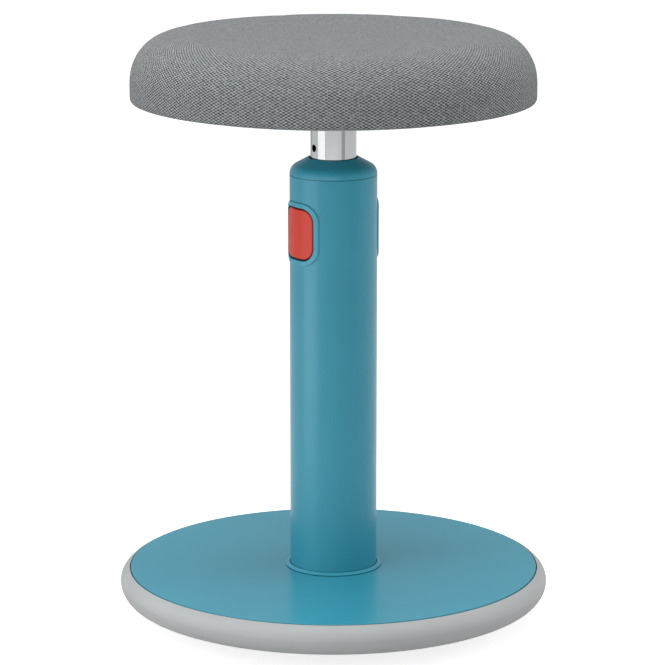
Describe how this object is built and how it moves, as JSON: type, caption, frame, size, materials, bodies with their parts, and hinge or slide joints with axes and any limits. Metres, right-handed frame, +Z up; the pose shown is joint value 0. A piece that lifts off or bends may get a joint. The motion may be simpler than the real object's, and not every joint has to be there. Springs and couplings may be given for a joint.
{
  "type": "wobble stool",
  "caption": "Height-adjustable wobble stool: round cloth seat on a chromed post in a painted column, push-button lock, weighted round base with a domed rubber underside.",
  "frame": {"origin": "on the floor, under the middle of the base", "axes": "+Z up along the column, the two push buttons on +X and -X"},
  "size_m": [0.3764, 0.3764, 0.5164],
  "materials": {
    "rim_rubber": "matte",
    "foot_rubber": "matte",
    "black_plastic": "matte",
    "grey_plastic": "matte",
    "teal_paint": "satin",
    "teal_plastic": "satin",
    "red_plastic": "satin",
    "plain_steel": "satin",
    "chrome": "polished",
    "black_steel": "satin",
    "plywood": "matte",
    "foam": "matte",
    "seat_cloth": "matte"
  },
  "bodies": {
    "base": {"rocker_tread": "rim_rubber", "centre_pad": "foot_rubber", "base_pan": "black_plastic", "ballast_disc": "plain_steel", "base_plate": "teal_plastic", "base_screws": "plain_steel", "column_flange": "plain_steel", "flange_bolts": "plain_steel", "flange_nuts": "plain_steel", "foot_collar": "teal_plastic", "bump_stop": "foot_rubber", "column_tube": "teal_paint", "column_cap": "teal_plastic", "guide_bush": "black_plastic", "key_rail": "plain_steel", "lock_cage": "black_plastic", "cage_screws": "plain_steel", "bezel_right": "teal_plastic", "bezel_left": "teal_plastic", "button_spring_right": "plain_steel", "button_spring_left": "plain_steel"},
    "seat": {"seat_post": "chrome", "post_slider": "black_plastic", "slider_screws": "plain_steel", "seat_plate": "black_steel", "post_collar": "black_steel", "seat_bolts": "black_steel", "tee_nuts": "plain_steel", "seat_board": "plywood", "seat_foam": "foam", "seat_cover": "seat_cloth", "seat_underside": "grey_plastic", "underside_screws": "black_steel"},
    "button_left": {"button_left": "red_plastic", "yoke_left": "plain_steel", "lock_pin_left": "plain_steel", "yoke_screw_left": "plain_steel"},
    "button_right": {"button_right": "red_plastic", "yoke_right": "plain_steel", "lock_pin_right": "plain_steel", "yoke_screw_right": "plain_steel"}
  },
  "joints": [
    {"name": "seat_height", "type": "slide", "parent": "base", "child": "seat", "axis": [0, 0, 1], "range_m": [0, 0.174]},
    {"name": "press_left", "type": "slide", "parent": "base", "child": "button_left", "axis": [1, 0, 0], "range_m": [0, 0.0046], "stiffness_N_per_m": 1200, "springref_m": -0.003, "deforming": ["button_spring_left"]},
    {"name": "press_right", "type": "slide", "parent": "base", "child": "button_right", "axis": [-1, 0, 0], "range_m": [0, 0.0046], "stiffness_N_per_m": 1200, "springref_m": -0.003, "deforming": ["button_spring_right"]}
  ]
}
